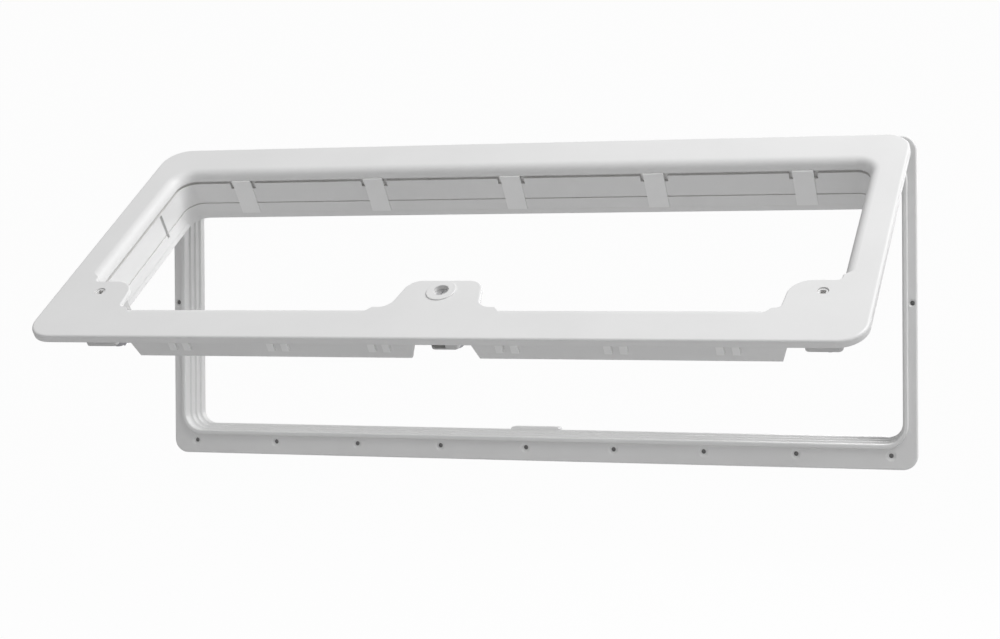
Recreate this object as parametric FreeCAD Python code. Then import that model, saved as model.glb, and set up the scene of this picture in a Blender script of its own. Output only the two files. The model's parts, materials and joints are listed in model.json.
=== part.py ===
"""Caravan service door: a top-hung leaf standing open in its moulded wall frame.

The leaf is modelled shut, in front of the wall frame, and then swung open about its hinge.
X runs along the wall, Y into the wall and Z up. Depths on the leaf are measured back from its front face.
"""
import FreeCAD, Part
import os

V = FreeCAD.Vector

# Cut-out in the caravan wall
CUTOUT_W = 750.0
CUTOUT_H = 268.0
CUTOUT_PLAY = 0.5

# Wall frame
SIDE_LAP = 10.0
RAIL_LAP = 20.5
FLANGE_T = 2.5
FLANGE_R = 14.0
FLANGE_EDGE_R = 1.5
JAMB_WALL = 2.5
JAMB_DEPTH = 28.0
JAMB_STEPS = 4
JAMB_STEP_IN = 1.5
JAMB_STEP_LAP = 1.5
JAMB_STEP_SLOPE = 1.4
JAMB_R = 18.0
BEAD_W = 4.5
BEAD_H = 2.0
BEAD_EDGE_R = 1.4
SCREW_PITCH = 90.0
SCREW_R = 2.2
RAIL_SCREW_HEAD_R = 5.0
SIDE_SCREW_HEAD_R = 3.8
SCREW_SINK = 1.5
RAIL_SCREW_IN = 13.0
SIDE_SCREW_IN = 4.6

# Hinge
HINGE_BELOW_TOP = 5.0
HINGE_STATIONS = 4
PIN_R = 1.5
PIN_PLAY = 0.06
KNUCKLE_R = 3.2
FRAME_KNUCKLE_W = 30.0
LEAF_KNUCKLE_W = 12.0
KNUCKLE_GAP = 0.5
KNUCKLE_ARM_T = 3.2
HINGE_POCKET_PLAY = 0.5

# Door leaf
LEAF_OPEN = 54.5
LEAF_SIDE_SET = 2.0
LEAF_DROP = 2.0
LEAF_ABOVE_HINGE = 4.0
LEAF_T = 4.0
LEAF_R = 25.0
LEAF_EDGE_R = 2.5
LEAF_GAP = 6.5
HINGE_DEPTH = 5.5
SKIRT_DEPTH = 7.0
SKIRT_T = 3.0
BAND_W = 45.0
STILE_W = 32.0
BAND_ROUND_R = 9.5
RETURN_DEPTH = 54.0
RETURN_T = 4.0
RETURN_R = 16.0
GROOVE_W = 2.8
GROOVE_D = 2.8
GROOVE_LAND = 0.5
LINE_AT = 35.0
LINE_W = 1.2
LINE_D = 1.0
LIP_L = 6.0
LIP_D = 0.8
RETURN_END_SIDE = 76.0
RETURN_END_STILE = 88.0
RETURN_END_SLANT = 5.0
RETURN_END_KNEE = 40.0
LOCK_GAP_W = 54.0
SLIT_W = 4.0
SLIT_BELOW_TOP = 100.0
SLIT_FROM = 14.0
SLIT_TO = 40.0

# Lobes that carry the lock and the corner latches
LOBE_UP = 83.0
LOBE_RUN_OUT = 10.0
LOBE_EDGE_R = 1.5
LOCK_LOBE_BASE_W = 84.0
LOCK_LOBE_TOP_W = 68.0
LOCK_LOBE_R = 15.0
LOCK_FOOT_R = 12.0
LOCK_FOOT_W = 14.0
CORNER_LOBE_BASE_W = 77.0
CORNER_LOBE_TOP_W = 74.0
CORNER_LOBE_R = 20.0
CORNER_FOOT_R = 4.0
CORNER_FOOT_W = 6.0

# Lock and latches
LATCH_UP = 67.0
CORNER_LATCH_IN = 45.0
HOUSING_TOP = 14.0
HOUSING_R = 4.0
LOCK_HOUSING_W = 26.0
LOCK_HOUSING_END = 46.0
LOCK_HOUSING_UP = 43.0
BOLT_MOUTH_W = 13.0
BOLT_MOUTH_H = 6.0
BOLT_MOUTH_L = 10.0
BOLT_MOUTH_RIM = 1.5
CORNER_HOUSING_W = 32.0
CORNER_HOUSING_END = 42.0
CORNER_HOUSING_UP = 39.0
BEARING_PLAY = 0.06
BEZEL_R = 13.5
BEZEL_PROUD = 1.0
BARREL_R = 7.0
BARREL_SUNK = 4.0
BARREL_END = 40.0
LOCK_SPINDLE_R = 4.0
KEY_SLOT_L = 9.0
KEY_SLOT_W = 2.0
KEY_SLOT_D = 5.0
CORNER_SPINDLE_R = 5.0
CORNER_SPINDLE_SUNK = 1.0
CORNER_KEY_SIDE = 5.0
CORNER_KEY_D = 7.0
CAM_T = 3.5
CAM_HUB_R = 7.0
CAM_TIP_W = 12.0
CAM_CLEAR = 5.0
CAM_BEHIND_RETURN = 1.5
CAM_GRIP = 6.0
SPINDLE_PROUD = 1.0

# Strike on the sill
STRIKE_W = 50.0
STRIKE_T = 12.0
STRIKE_OVERHANG = 7.0
STRIKE_H = 2.5
STRIKE_CHAMFER = 2.0
STRIKE_END_R = 2.0

# Panel clips
TOP_CLIPS = 5
TOP_CLIP_END_IN = 65.0
BOTTOM_CLIPS_EACH_SIDE = 3
BOTTOM_CLIP_FIRST = 60.0
BOTTOM_CLIP_END_IN = 50.0
CLIP_W = 20.0
CLIP_L = 38.0
CLIP_T = 0.8
CLIP_NOSE_L = 3.0
CLIP_NOSE_H = 2.0
CLIP_RELIEF_W = 3.5
CLIP_RELIEF_L = 6.0
PRONG_PITCH = 14.0
PRONG_W = 5.0
PRONG_L = 9.0
PRONG_AT = 37.0
PRONG_PROUD = 2.5
PRONG_BARB = 0.8
PRONG_PLAY = 0.1

TOL = 1e-4

# Places worked out from the sizes above; Z = 0 is the middle of the bottom flange
FRAME_HALF_W = CUTOUT_W / 2 + SIDE_LAP
FRAME_BOTTOM = -RAIL_LAP / 2
FRAME_TOP = FRAME_BOTTOM + CUTOUT_H + 2 * RAIL_LAP
FRAME_MID = (FRAME_BOTTOM + FRAME_TOP) / 2
FRAME_FRONT = -FLANGE_T
BEAD_FRONT = FRAME_FRONT - BEAD_H
JAMB_SIDE_IN = SIDE_LAP + CUTOUT_PLAY + JAMB_WALL
JAMB_RAIL_IN = RAIL_LAP + CUTOUT_PLAY + JAMB_WALL
STEP_L = JAMB_DEPTH / JAMB_STEPS

LEAF_FRONT = BEAD_FRONT - LEAF_GAP - LEAF_T
LEAF_HALF_W = FRAME_HALF_W - LEAF_SIDE_SET
HINGE_Y = LEAF_FRONT + HINGE_DEPTH
HINGE_Z = FRAME_TOP - HINGE_BELOW_TOP
LEAF_TOP = HINGE_Z + LEAF_ABOVE_HINGE
LEAF_BOTTOM = FRAME_BOTTOM - LEAF_DROP
OPENING_HALF_W = LEAF_HALF_W - STILE_W
OPENING_TOP = LEAF_TOP - BAND_W
OPENING_BOTTOM = LEAF_BOTTOM + BAND_W
LATCH_Z = LEAF_BOTTOM + LATCH_UP
CORNER_LATCH_X = LEAF_HALF_W - CORNER_LATCH_IN
CAM_START = max(JAMB_DEPTH + CAM_CLEAR - LEAF_FRONT, RETURN_DEPTH + CAM_BEHIND_RETURN)
SILL_Z = FRAME_BOTTOM + JAMB_RAIL_IN + JAMB_STEP_IN * (JAMB_STEPS - 1)


def depth(value):
    """Y of a depth behind the shut leaf's front face."""
    return LEAF_FRONT + value


def box(x0, x1, y0, y1, z0, z1):
    return Part.makeBox(x1 - x0, y1 - y0, z1 - z0, V(x0, y0, z0))


def rod(radius, start, end):
    """Round bar between two points."""
    along = end - start
    return Part.makeCylinder(radius, along.Length, start, along)


def prism_y(points, y0, y1):
    """Plate with an outline of (x, z) points, from y0 to y1."""
    outline = [V(x, y0, z) for x, z in points]
    face = Part.Face(Part.makePolygon(outline + outline[:1]))
    return face.extrude(V(0, y1 - y0, 0))


def prism_x(points, x0, x1):
    """Bar with a section of (y, z) points, from x0 to x1."""
    outline = [V(x0, y, z) for y, z in points]
    face = Part.Face(Part.makePolygon(outline + outline[:1]))
    return face.extrude(V(x1 - x0, 0, 0))


def edges_along_y(shape, corners):
    """Edges along Y that stand on the given (x, z) corners."""
    found = []
    for edge in shape.Edges:
        start = edge.Vertexes[0].Point
        end = edge.Vertexes[-1].Point
        if abs(start.x - end.x) > TOL or abs(start.z - end.z) > TOL:
            continue
        if any(abs(start.x - x) < TOL and abs(start.z - z) < TOL for x, z in corners):
            found.append(edge)
    return found


def round_corners(shape, corners, radius):
    return shape.makeFillet(radius, edges_along_y(shape, corners))


def slab(half_w, z0, z1, y0, y1, radius):
    """Rounded rectangle, centred on X = 0, from y0 to y1."""
    corners = [(side * half_w, z) for side in (-1, 1) for z in (z0, z1)]
    return round_corners(box(-half_w, half_w, y0, y1, z0, z1), corners, radius)


def edges_in_plane(shape, y, half_w, z0, z1):
    """Edges that lie in the plane at y and inside the rectangle, its border included."""
    found = []
    for edge in shape.Edges:
        limits = edge.BoundBox
        flat = abs(limits.YMin - y) < TOL and abs(limits.YMax - y) < TOL
        between = limits.XMin > -half_w - TOL and limits.XMax < half_w + TOL
        if flat and between and limits.ZMin > z0 - TOL and limits.ZMax < z1 + TOL:
            found.append(edge)
    return found


def fuse(shapes):
    return shapes[0].fuse(shapes[1:]).removeSplitter()


def frame_slab(side_in, rail_in, y0, y1, radius):
    """Rounded rectangle set in from the wall frame's outer edge."""
    return slab(FRAME_HALF_W - side_in, FRAME_BOTTOM + rail_in, FRAME_TOP - rail_in, y0, y1, radius)


def leaf_slab(inset, y0, y1, radius):
    """Rounded rectangle set in from the shut leaf's outer edge."""
    return slab(LEAF_HALF_W - inset, LEAF_BOTTOM + inset, LEAF_TOP - inset, y0, y1, radius)


def opening_slab(grow, y0, y1):
    """Rounded rectangle grown from the leaf's opening."""
    return slab(OPENING_HALF_W + grow, OPENING_BOTTOM - grow, OPENING_TOP + grow, y0, y1, RETURN_R + grow)


def centred(count, pitch):
    """Places of a row that is centred on zero."""
    return [(i - (count - 1) / 2) * pitch for i in range(count)]


def screw_columns():
    reach = int((FRAME_HALF_W - FLANGE_R) / SCREW_PITCH)
    return centred(2 * reach + 1, SCREW_PITCH)


def hinge_columns():
    """Hinge stations stand half-way between screw holes, two pitches apart."""
    return centred(HINGE_STATIONS, 2 * SCREW_PITCH)


def screw_hole(x, z, head_r):
    """Countersunk screw hole through the flange."""
    shank = rod(SCREW_R, V(x, FRAME_FRONT - TOL, z), V(x, TOL, z))
    sink_top = V(x, FRAME_FRONT - TOL, z)
    sink = Part.makeCone(head_r, SCREW_R, SCREW_SINK, sink_top, V(0, 1, 0))
    return shank.fuse(sink)


def jamb_ring(step):
    """One step of the jamb, narrower than the step in front of it and sloping in from it."""
    inset = JAMB_STEP_IN * step
    y0 = -FLANGE_T if step == 0 else STEP_L * step - JAMB_STEP_LAP
    y1 = STEP_L * (step + 1)
    inner_r = JAMB_R - inset
    outer = frame_slab(JAMB_SIDE_IN + inset - JAMB_WALL, JAMB_RAIL_IN + inset - JAMB_WALL,
                       y0, y1, inner_r + JAMB_WALL)
    inner = frame_slab(JAMB_SIDE_IN + inset, JAMB_RAIL_IN + inset, y0, y1, inner_r)
    ring = outer.cut(inner)
    if step == 0:
        return ring
    half_w = FRAME_HALF_W - JAMB_SIDE_IN - inset
    rail_in = JAMB_RAIL_IN + inset
    mouth = edges_in_plane(ring, y0, half_w, FRAME_BOTTOM + rail_in, FRAME_TOP - rail_in)
    return ring.makeChamfer(JAMB_STEP_SLOPE, mouth)


def sealing_bead():
    """Raised bead along the flange's inner edge."""
    base = FRAME_FRONT + FLANGE_T / 2
    outer = frame_slab(JAMB_SIDE_IN - BEAD_W, JAMB_RAIL_IN - BEAD_W, BEAD_FRONT, base, JAMB_R + BEAD_W)
    inner = frame_slab(JAMB_SIDE_IN, JAMB_RAIL_IN, BEAD_FRONT, base, JAMB_R)
    bead = outer.cut(inner)
    crest = edges_in_plane(bead, BEAD_FRONT, FRAME_HALF_W, FRAME_BOTTOM, FRAME_TOP)
    return bead.makeFillet(BEAD_EDGE_R, crest)


def frame_knuckle(x):
    """Hinge knuckle on an arm that stands off the wall frame's top flange."""
    half = FRAME_KNUCKLE_W / 2
    barrel = rod(KNUCKLE_R, V(x - half, HINGE_Y, HINGE_Z), V(x + half, HINGE_Y, HINGE_Z))
    low = HINGE_Z - KNUCKLE_ARM_T / 2
    arm = box(x - half, x + half, HINGE_Y, -FLANGE_T / 2, low, low + KNUCKLE_ARM_T)
    return barrel.fuse(arm)


def pin_bore(radius):
    """Bore along the whole hinge line."""
    return rod(radius, V(-FRAME_HALF_W, HINGE_Y, HINGE_Z), V(FRAME_HALF_W, HINGE_Y, HINGE_Z))


def wall_frame():
    flange = frame_slab(0, 0, FRAME_FRONT, 0, FLANGE_R)
    rim = edges_in_plane(flange, FRAME_FRONT, FRAME_HALF_W, FRAME_BOTTOM, FRAME_TOP)
    flange = flange.makeFillet(FLANGE_EDGE_R, rim)
    flange = flange.cut(frame_slab(JAMB_SIDE_IN, JAMB_RAIL_IN, FRAME_FRONT, 0, JAMB_R))
    steps = [jamb_ring(step) for step in range(JAMB_STEPS)]
    knuckles = [frame_knuckle(x) for x in hinge_columns()]
    body = fuse([flange, sealing_bead()] + steps + knuckles)
    rails = (FRAME_BOTTOM + RAIL_SCREW_IN, FRAME_TOP - RAIL_SCREW_IN)
    sides = (-FRAME_HALF_W + SIDE_SCREW_IN, FRAME_HALF_W - SIDE_SCREW_IN)
    holes = [screw_hole(x, z, RAIL_SCREW_HEAD_R) for x in screw_columns() for z in rails]
    holes += [screw_hole(x, FRAME_MID, SIDE_SCREW_HEAD_R) for x in sides]
    return body.cut(holes + [pin_bore(PIN_R)])


def strike():
    """Keeper on the sill that overhangs its back edge; the lock's cam turns down behind it."""
    top = SILL_Z + STRIKE_H
    front = JAMB_DEPTH + STRIKE_OVERHANG - STRIKE_T
    back = JAMB_DEPTH + STRIKE_OVERHANG
    section = [(front, SILL_Z), (back, SILL_Z), (back, top), (front + STRIKE_CHAMFER, top)]
    block = prism_x(section, -STRIKE_W / 2, STRIKE_W / 2)
    return round_corners(block, [(-STRIKE_W / 2, top), (STRIKE_W / 2, top)], STRIKE_END_R)


def hinge_pin(x):
    half = FRAME_KNUCKLE_W / 2 + KNUCKLE_GAP + LEAF_KNUCKLE_W
    return rod(PIN_R, V(x - half, HINGE_Y, HINGE_Z), V(x + half, HINGE_Y, HINGE_Z))


def leaf_knuckles(x):
    """The leaf's two knuckles, one each side of a wall frame knuckle."""
    near = FRAME_KNUCKLE_W / 2 + KNUCKLE_GAP
    far = near + LEAF_KNUCKLE_W
    return [rod(KNUCKLE_R, V(x + side * near, HINGE_Y, HINGE_Z), V(x + side * far, HINGE_Y, HINGE_Z))
            for side in (-1, 1)]


def hinge_pocket(x):
    """Pocket in the leaf's top edge, in which a wall frame knuckle and its arm turn."""
    half = FRAME_KNUCKLE_W / 2 + KNUCKLE_GAP
    reach = KNUCKLE_R + HINGE_POCKET_PLAY
    return box(x - half, x + half, HINGE_Y - reach, depth(RETURN_DEPTH), HINGE_Z - reach, LEAF_TOP + 1)


def return_wall():
    """The wall behind the band's inner edge."""
    outer = opening_slab(RETURN_T, depth(0), depth(RETURN_DEPTH))
    return outer.cut(opening_slab(0, depth(0), depth(RETURN_DEPTH)))


def return_recesses():
    """Panel groove, fine line and rear lip on the return's inner face."""
    groove_y = depth(BAND_ROUND_R + GROOVE_LAND)
    groove = opening_slab(GROOVE_D, groove_y, groove_y + GROOVE_W)
    line = opening_slab(LINE_D, depth(LINE_AT), depth(LINE_AT + LINE_W))
    lip = opening_slab(LIP_D, depth(RETURN_DEPTH - LIP_L), depth(RETURN_DEPTH))
    return [groove, line, lip]


def leaf_band():
    """Flat band, skirt and return, rounded over at the band's inner edge."""
    plate = leaf_slab(0, depth(0), depth(LEAF_T), LEAF_R)
    plate = plate.cut(opening_slab(0, depth(0), depth(LEAF_T)))
    skirt = leaf_slab(0, depth(0), depth(SKIRT_DEPTH), LEAF_R)
    skirt = skirt.cut(leaf_slab(SKIRT_T, depth(0), depth(SKIRT_DEPTH), LEAF_R - SKIRT_T))
    body = fuse([plate, skirt, return_wall()])
    inner_edge = edges_in_plane(body, depth(0), OPENING_HALF_W, OPENING_BOTTOM, OPENING_TOP)
    body = body.makeFillet(BAND_ROUND_R, inner_edge)
    outer_edge = [edge for edge in edges_in_plane(body, depth(0), LEAF_HALF_W, LEAF_BOTTOM, LEAF_TOP)
                  if on_leaf_edge(edge)]
    return body.makeFillet(LEAF_EDGE_R, outer_edge).cut(return_recesses())


def on_leaf_edge(edge):
    """True for an edge of the leaf's outline."""
    limits = edge.BoundBox
    return (max(abs(limits.XMin), abs(limits.XMax)) > LEAF_HALF_W - LEAF_R - TOL
            and (abs(limits.XMin) > LEAF_HALF_W - TOL or abs(limits.XMax) > LEAF_HALF_W - TOL
                 or abs(limits.ZMin - LEAF_BOTTOM) < TOL or abs(limits.ZMax - LEAF_TOP) < TOL))


def lobe_plate(outline, foot, foot_r, tips, tip_r):
    """Lobe with hollow rounded feet, rounded tips and a softened front edge."""
    plate = prism_y(outline, depth(0), depth(LEAF_T))
    plate = round_corners(round_corners(plate, foot, foot_r), tips, tip_r)
    border = edges_in_plane(plate, depth(0), LEAF_HALF_W, LEAF_BOTTOM, LEAF_TOP)
    free = [edge for edge in border if on_lobe_outline(edge)]
    return plate.makeFillet(LOBE_EDGE_R, free)


def on_lobe_outline(edge):
    """True for a lobe's front edge that stands free in the opening."""
    limits = edge.BoundBox
    reach = max(abs(limits.XMin), abs(limits.XMax))
    above_rail = limits.ZMin > OPENING_BOTTOM - TOL and limits.ZMax > OPENING_BOTTOM + TOL
    return above_rail and reach < OPENING_HALF_W + TOL


def lock_lobe():
    """Plate on the bottom rail, round the centre lock."""
    low = OPENING_BOTTOM - BAND_ROUND_R - LEAF_EDGE_R
    top = LEAF_BOTTOM + LOBE_UP
    base = LOCK_LOBE_BASE_W / 2
    tip = LOCK_LOBE_TOP_W / 2
    toe = base + LOCK_FOOT_W
    right = [(toe + LOBE_RUN_OUT, low), (toe, OPENING_BOTTOM), (base, OPENING_BOTTOM), (tip, top)]
    left = [(-x, z) for x, z in reversed(right)]
    foot = [(base, OPENING_BOTTOM), (-base, OPENING_BOTTOM)]
    return lobe_plate(right + left, foot, LOCK_FOOT_R, [(tip, top), (-tip, top)], LOCK_LOBE_R)


def corner_lobe(side):
    """Plate across a bottom corner of the opening, round a corner latch."""
    low = OPENING_BOTTOM - BAND_ROUND_R - LEAF_EDGE_R
    top = LEAF_BOTTOM + LOBE_UP
    outer = OPENING_HALF_W + BAND_ROUND_R + LEAF_EDGE_R
    base = LEAF_HALF_W - CORNER_LOBE_BASE_W
    tip = LEAF_HALF_W - CORNER_LOBE_TOP_W
    toe = base - CORNER_FOOT_W
    heel = top + CORNER_FOOT_W
    on_rail = [(outer, low), (toe - LOBE_RUN_OUT, low), (toe, OPENING_BOTTOM), (base, OPENING_BOTTOM)]
    on_stile = [(OPENING_HALF_W, top), (OPENING_HALF_W, heel), (outer, heel + LOBE_RUN_OUT)]
    right = on_rail + [(tip, top)] + on_stile
    outline = [(side * x, z) for x, z in right]
    foot = [(side * base, OPENING_BOTTOM), (side * OPENING_HALF_W, top)]
    return lobe_plate(outline, foot, CORNER_FOOT_R, [(side * tip, top)], CORNER_LOBE_R)


def lock_gap():
    """Gap in the bottom return at the lock, wider at the back."""
    return bottom_return_cut(-LOCK_GAP_W / 2, LOCK_GAP_W / 2)


def bottom_return_cut(x0, x1):
    """Space cut out of the bottom return between x0 and x1; its ends slant off at the back."""
    front = depth(LEAF_T)
    knee = depth(RETURN_END_KNEE)
    back = depth(RETURN_DEPTH)
    z0 = OPENING_BOTTOM - 2 * RETURN_T
    right = [V(x1, front, z0), V(x1, knee, z0), V(x1 + RETURN_END_SLANT, back, z0)]
    left = [V(x0 - RETURN_END_SLANT, back, z0), V(x0, knee, z0), V(x0, front, z0)]
    outline = right + left
    face = Part.Face(Part.makePolygon(outline + outline[:1]))
    return face.extrude(V(0, 0, 3 * RETURN_T))


def corner_gap(side):
    """Space for a corner latch: neither the stile's nor the rail's return runs into the corner."""
    rail_end = side * (LEAF_HALF_W - RETURN_END_SIDE)
    outer = side * (LEAF_HALF_W - SKIRT_T)
    x0, x1 = sorted((rail_end, outer))
    rail_cut = bottom_return_cut(x0, x1)
    s0, s1 = sorted((side * (OPENING_HALF_W - RETURN_R), side * (OPENING_HALF_W + 2 * RETURN_T)))
    stile_cut = box(s0, s1, depth(LEAF_T), depth(RETURN_DEPTH), OPENING_BOTTOM - 2 * RETURN_T,
                    LEAF_BOTTOM + RETURN_END_STILE)
    return [rail_cut, stile_cut]


def stile_slit(side):
    """Slit through a stile's return."""
    x0, x1 = sorted((side * (OPENING_HALF_W - RETURN_T), side * (OPENING_HALF_W + 2 * RETURN_T)))
    mid = LEAF_TOP - SLIT_BELOW_TOP
    return box(x0, x1, depth(SLIT_FROM), depth(SLIT_TO), mid - SLIT_W / 2, mid + SLIT_W / 2)


def clip_rows():
    """Each clip's name, place along its rail, height of its seat and the way into the opening."""
    rows = []
    top_pitch = 2 * (OPENING_HALF_W - TOP_CLIP_END_IN) / (TOP_CLIPS - 1)
    for number, x in enumerate(centred(TOP_CLIPS, top_pitch), 1):
        rows.append((f"panel_clip_top_{number}", x, OPENING_TOP, -1))
    last = LEAF_HALF_W - RETURN_END_SIDE - BOTTOM_CLIP_END_IN
    bottom_pitch = (last - BOTTOM_CLIP_FIRST) / (BOTTOM_CLIPS_EACH_SIDE - 1)
    right = [BOTTOM_CLIP_FIRST + bottom_pitch * i for i in range(BOTTOM_CLIPS_EACH_SIDE)]
    for number, x in enumerate([-place for place in reversed(right)] + right, 1):
        rows.append((f"panel_clip_bottom_{number}", x, OPENING_BOTTOM, 1))
    return rows


def clip_reliefs(x, seat, inward):
    """Short legs of the panel groove beside a clip."""
    y0 = depth(BAND_ROUND_R + GROOVE_LAND)
    y1 = y0 + GROOVE_W + CLIP_RELIEF_L
    starts = [x - CLIP_W / 2 - CLIP_RELIEF_W, x + CLIP_W / 2]
    return [z_box(x0, x0 + CLIP_RELIEF_W, y0, y1, seat, inward, -GROOVE_D, GROOVE_D) for x0 in starts]


def z_box(x0, x1, y0, y1, seat, inward, from_seat, to_seat):
    """Box between two heights measured from a seat, into the opening."""
    z0, z1 = sorted((seat + inward * from_seat, seat + inward * to_seat))
    return box(x0, x1, y0, y1, z0, z1)


def prong_places(x):
    return [x - PRONG_PITCH / 2, x + PRONG_PITCH / 2]


def prong_slots(x, seat, inward):
    """Slots through the return for a clip's two prongs."""
    half = PRONG_W / 2 + PRONG_PLAY
    y0 = depth(PRONG_AT - PRONG_PLAY)
    y1 = depth(PRONG_AT + PRONG_L + PRONG_PLAY)
    return [z_box(place - half, place + half, y0, y1, seat, inward, -2 * RETURN_T, RETURN_T)
            for place in prong_places(x)]


def panel_clip(x, seat, inward):
    """Clip on the return: a plate with a nose that holds the panel, and two barbed prongs."""
    half = CLIP_W / 2
    y0 = depth(BAND_ROUND_R)
    plate = z_box(x - half, x + half, y0, y0 + CLIP_L, seat, inward, 0, CLIP_T)
    nose = z_box(x - half, x + half, y0, y0 + CLIP_NOSE_L, seat, inward, 0, CLIP_NOSE_H)
    pieces = [plate, nose]
    for place in prong_places(x):
        half_prong = PRONG_W / 2
        shank = z_box(place - half_prong, place + half_prong, depth(PRONG_AT), depth(PRONG_AT + PRONG_L),
                      seat, inward, -RETURN_T - PRONG_PROUD, 0)
        barb = z_box(place - half_prong - PRONG_BARB, place + half_prong + PRONG_BARB, depth(PRONG_AT),
                     depth(PRONG_AT + PRONG_L), seat, inward, -RETURN_T - PRONG_PROUD, -RETURN_T)
        pieces += [shank, barb]
    return fuse(pieces)


def latch_holes():
    """Holes through the lobes for the barrel and the two spindles."""
    holes = [(0, BARREL_R), (-CORNER_LATCH_X, CORNER_SPINDLE_R), (CORNER_LATCH_X, CORNER_SPINDLE_R)]
    return [rod(radius + BEARING_PLAY, V(x, depth(0), LATCH_Z), V(x, depth(LEAF_T), LATCH_Z))
            for x, radius in holes]


def door_frame():
    body = fuse([leaf_band(), lock_lobe(), corner_lobe(-1), corner_lobe(1)])
    cuts = [lock_gap()] + latch_holes()
    for side in (-1, 1):
        cuts += corner_gap(side) + [stile_slit(side)]
    for _, x, seat, inward in clip_rows():
        cuts += prong_slots(x, seat, inward) + clip_reliefs(x, seat, inward)
    cuts += [hinge_pocket(x) for x in hinge_columns()]
    body = body.cut(cuts)
    knuckles = [knuckle for x in hinge_columns() for knuckle in leaf_knuckles(x)]
    return fuse([body] + knuckles).cut(pin_bore(PIN_R + PIN_PLAY))


def housing(x, width, up, end, bores):
    """Latch housing on the back of a lobe, with (radius, from, to) bores."""
    half = width / 2
    z0 = LEAF_BOTTOM + up
    z1 = LATCH_Z + HOUSING_TOP
    block = box(x - half, x + half, depth(LEAF_T), depth(end), z0, z1)
    corners = [(x + side * half, z) for side in (-1, 1) for z in (z0, z1)]
    block = round_corners(block, corners, HOUSING_R)
    holes = [rod(radius + BEARING_PLAY, V(x, depth(start), LATCH_Z), V(x, depth(stop), LATCH_Z))
             for radius, start, stop in bores]
    return block.cut(holes)


def bolt_mouth():
    """Mouth in the lower end of the lock's housing, left of its middle."""
    x0 = BOLT_MOUTH_RIM - LOCK_HOUSING_W / 2
    y1 = depth(LOCK_HOUSING_END - BOLT_MOUTH_RIM)
    z0 = LEAF_BOTTOM + LOCK_HOUSING_UP
    return box(x0, x0 + BOLT_MOUTH_W, y1 - BOLT_MOUTH_H, y1, z0, z0 + BOLT_MOUTH_L)


def cam(x, spindle_r):
    """Flat cam behind the return; unlocked it points up, and it turns down behind the sill."""
    y0 = depth(CAM_START)
    y1 = y0 + CAM_T
    half = CAM_TIP_W / 2
    tip = LATCH_Z + LATCH_Z - SILL_Z + CAM_GRIP - half
    hub = rod(CAM_HUB_R, V(x, y0, LATCH_Z), V(x, y1, LATCH_Z))
    arm = box(x - half, x + half, y0, y1, LATCH_Z, tip)
    nose = rod(half, V(x, y0, tip), V(x, y1, tip))
    bore = rod(spindle_r, V(x, y0, LATCH_Z), V(x, y1, LATCH_Z))
    return fuse([hub, arm, nose]).cut(bore)


def lock_barrel():
    end = CAM_START + CAM_T + SPINDLE_PROUD
    barrel = rod(BARREL_R, V(0, depth(BARREL_SUNK - BEZEL_PROUD), LATCH_Z), V(0, depth(BARREL_END), LATCH_Z))
    spindle = rod(LOCK_SPINDLE_R, V(0, depth(BARREL_END - 1), LATCH_Z), V(0, depth(end), LATCH_Z))
    slot = box(-KEY_SLOT_W / 2, KEY_SLOT_W / 2, depth(-BEZEL_PROUD), depth(KEY_SLOT_D),
               LATCH_Z - KEY_SLOT_L / 2, LATCH_Z + KEY_SLOT_L / 2)
    return fuse([barrel, spindle]).cut(slot)


def lock_bezel():
    disc = rod(BEZEL_R, V(0, depth(-BEZEL_PROUD), LATCH_Z), V(0, depth(0), LATCH_Z))
    bore = rod(BARREL_R + BEARING_PLAY, V(0, depth(-BEZEL_PROUD), LATCH_Z), V(0, depth(0), LATCH_Z))
    rim = [edge for edge in disc.Edges if abs(edge.BoundBox.YMax - depth(-BEZEL_PROUD)) < TOL]
    return disc.makeChamfer(BEZEL_PROUD / 2, rim).cut(bore)


def corner_spindle(x):
    end = CAM_START + CAM_T + SPINDLE_PROUD
    bar = rod(CORNER_SPINDLE_R, V(x, depth(CORNER_SPINDLE_SUNK), LATCH_Z), V(x, depth(end), LATCH_Z))
    half = CORNER_KEY_SIDE / 2
    y0 = depth(CORNER_SPINDLE_SUNK)
    socket = box(x - half, x + half, y0, y0 + CORNER_KEY_D, LATCH_Z - half, LATCH_Z + half)
    return bar.cut(socket)


def leaf_pieces():
    """Every piece that swings with the leaf, by name, with the leaf shut."""
    pieces = {"door_frame": door_frame()}
    for name, x, seat, inward in clip_rows():
        pieces[name] = panel_clip(x, seat, inward)
    lock_bores = [(BARREL_R, LEAF_T, BARREL_END), (LOCK_SPINDLE_R, BARREL_END, LOCK_HOUSING_END)]
    lock_block = housing(0, LOCK_HOUSING_W, LOCK_HOUSING_UP, LOCK_HOUSING_END, lock_bores)
    pieces["lock_housing"] = lock_block.cut(bolt_mouth())
    pieces["lock_bezel"] = lock_bezel()
    pieces["lock_barrel"] = lock_barrel()
    pieces["lock_cam"] = cam(0, LOCK_SPINDLE_R)
    for word, side in (("left", -1), ("right", 1)):
        x = side * CORNER_LATCH_X
        bores = [(CORNER_SPINDLE_R, LEAF_T, CORNER_HOUSING_END)]
        block = housing(x, CORNER_HOUSING_W, CORNER_HOUSING_UP, CORNER_HOUSING_END, bores)
        pieces[f"latch_housing_{word}"] = block
        pieces[f"latch_spindle_{word}"] = corner_spindle(x)
        pieces[f"latch_cam_{word}"] = cam(x, CORNER_SPINDLE_R)
    return pieces


def swing_open(shape):
    """The shut shape, swung open about the hinge line."""
    opened = shape.copy()
    opened.rotate(V(0, HINGE_Y, HINGE_Z), V(-1, 0, 0), LEAF_OPEN)
    return opened


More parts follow.
